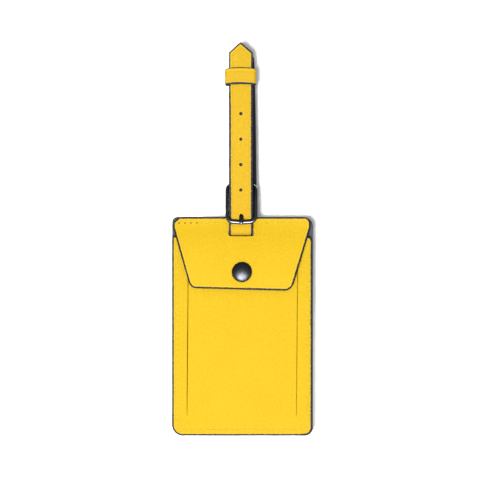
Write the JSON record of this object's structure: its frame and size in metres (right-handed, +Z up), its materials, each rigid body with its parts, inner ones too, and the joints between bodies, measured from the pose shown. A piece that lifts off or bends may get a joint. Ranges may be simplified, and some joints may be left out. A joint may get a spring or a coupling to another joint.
{
  "type": "luggage tag",
  "caption": "Flat leather luggage tag: card pocket, snapped flap and stitched edges, hung by a pointed strap with buckle and keeper.",
  "frame": {"origin": "middle of the face a bag's handle bears on: the inner face of the strap loop's straight rear run", "axes": "+Z up along the strap, -Y out of the tag's front, +X to the right seen from the front"},
  "size_m": [0.07, 0.0131, 0.1953],
  "materials": {
    "yellow_leather": "fine grain, satin, dark painted edges",
    "dark_lining": "matte split leather",
    "grey_board": "matte pressed fibre board",
    "white_card": "matte paper card",
    "yellow_thread": "waxed polyester thread",
    "black_metal": "black nickel, satin to glossy"
  },
  "bodies": {
    "strap": {"strap_loop": "yellow_leather", "strap_throat": "yellow_leather", "strap_tail": "yellow_leather", "strap_rivet_post": "black_metal", "strap_rivet_cap": "black_metal"},
    "tag": {"back_panel": "yellow_leather", "stiffener_board": "grey_board", "back_lining": "dark_lining", "front_panel": "yellow_leather", "flap_yoke": "yellow_leather", "snap_stud": "black_metal", "snap_post": "black_metal", "pocket_seam_needle_thread": "yellow_thread", "pocket_seam_bobbin_thread": "yellow_thread", "flap_seam_needle_thread": "yellow_thread", "flap_seam_bobbin_thread": "yellow_thread"},
    "flap": {"flap_panel": "yellow_leather", "flap_lining": "dark_lining", "snap_cap": "black_metal", "snap_socket": "black_metal"},
    "card": {"address_card": "white_card"},
    "keeper": {"keeper_loop": "yellow_leather"},
    "buckle": {"buckle_frame": "black_metal"},
    "prong": {"buckle_prong": "black_metal"}
  },
  "joints": [
    {"name": "tag_swing", "type": "hinge", "parent": "strap", "child": "tag", "pos_m": [-0.001, -0.0041, -0.0484], "axis": [1, 0, 0], "range_deg": [-10, 10]},
    {"name": "flap_fold", "type": "hinge", "parent": "tag", "child": "flap", "pos_m": [-0.001, -0.00738, -0.0552], "axis": [-1, 0, 0], "range_deg": [0, 110]},
    {"name": "buckle_pivot", "type": "hinge", "parent": "strap", "child": "buckle", "pos_m": [-0.001, -0.0046, -0.02725], "axis": [-1, 0, 0], "range_deg": [0, 15], "deforming": ["strap_throat"]},
    {"name": "prong_pivot", "type": "hinge", "parent": "strap", "child": "prong", "pos_m": [-0.001, -0.0046, -0.02725], "axis": [-1, 0, 0], "range_deg": [0, 15]},
    {"name": "keeper_slide", "type": "slide", "parent": "strap", "child": "keeper", "axis": [0, 0, 1], "range_m": [-0.034, 0.003]},
    {"name": "card_slide", "type": "slide", "parent": "tag", "child": "card", "axis": [0, 0, 1], "range_m": [0, 0.007]}
  ],
  "couplings": [
    {"joint": "prong_pivot", "follows": "buckle_pivot", "ratio": 1}
  ]
}
